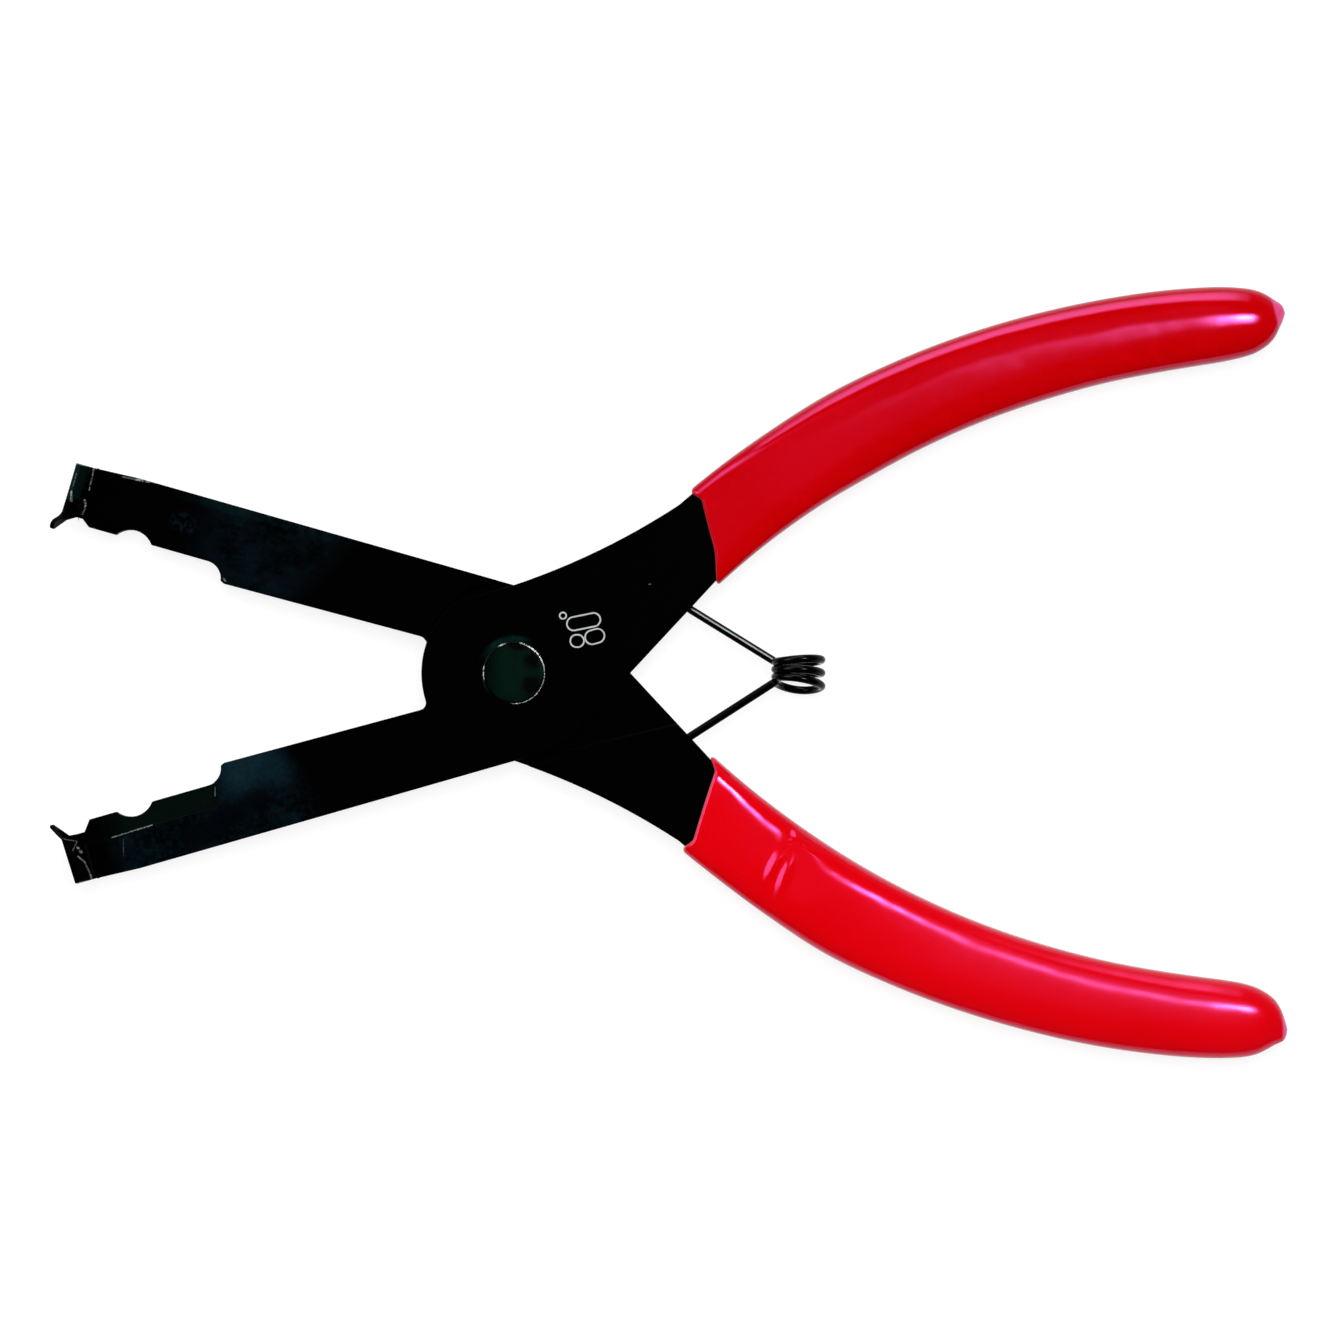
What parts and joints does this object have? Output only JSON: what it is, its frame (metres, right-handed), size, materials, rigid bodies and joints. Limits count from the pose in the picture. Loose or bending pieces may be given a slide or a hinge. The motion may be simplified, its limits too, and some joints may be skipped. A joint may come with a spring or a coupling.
{
  "type": "trim clip pliers",
  "caption": "Spring-loaded pliers with two long stepped jaws, bent prying tips, a low pivot rivet, a wire spring and dipped vinyl grips, for pulling trim clips.",
  "frame": {"origin": "pivot axis at the back face of the rivet", "axes": "+X towards the handles, jaws to -X, +Y towards the upper handle, +Z out of the joint's front face, the side to which both tips are bent"},
  "size_m": [0.2235, 0.1408, 0.0209],
  "materials": {
    "black_steel": "satin black finish on stamped steel, worn at the tips",
    "rivet_steel": "dark brushed steel with a bright worn rim",
    "red_vinyl": "glossy hot-dipped vinyl",
    "spring_wire": "satin black spring wire"
  },
  "bodies": {
    "upper_handle": {"lower_jaw_lever": "black_steel", "pivot_rivet": "rivet_steel", "upper_grip": "red_vinyl"},
    "lower_handle": {"upper_jaw_lever": "black_steel", "lower_grip": "red_vinyl"},
    "upper_leg": {"upper_spring_leg": "spring_wire"},
    "coil": {"spring_coil": "spring_wire"},
    "lower_leg": {"lower_spring_leg": "spring_wire"}
  },
  "joints": [
    {"name": "pivot", "type": "hinge", "parent": "upper_handle", "child": "lower_handle", "pos_m": [0, 0, 0.00262], "axis": [0, 0, 1], "range_deg": [-4, 34], "stiffness_Nm_per_rad": 1},
    {"name": "spring_upper_seat", "type": "hinge", "parent": "upper_handle", "child": "upper_leg", "pos_m": [0.0303, 0.0126, 0.00262], "axis": [0, 0, 1], "range_deg": [-5.5, 45.5]},
    {"name": "spring_upper_flex", "type": "hinge", "parent": "upper_leg", "child": "coil", "pos_m": [0.0477, 0.00205, 0.00262], "axis": [0, 0, 1], "range_deg": [-28.5, 3.5]},
    {"name": "spring_lower_flex", "type": "hinge", "parent": "coil", "child": "lower_leg", "pos_m": [0.0477, -0.00205, 0.00262], "axis": [0, 0, 1], "range_deg": [-28.5, 3.5]}
  ],
  "couplings": [
    {"joint": "spring_upper_seat", "follows": "pivot", "ratio": 1.331},
    {"joint": "spring_upper_flex", "follows": "pivot", "ratio": -0.831},
    {"joint": "spring_lower_flex", "follows": "pivot", "ratio": -0.831}
  ]
}
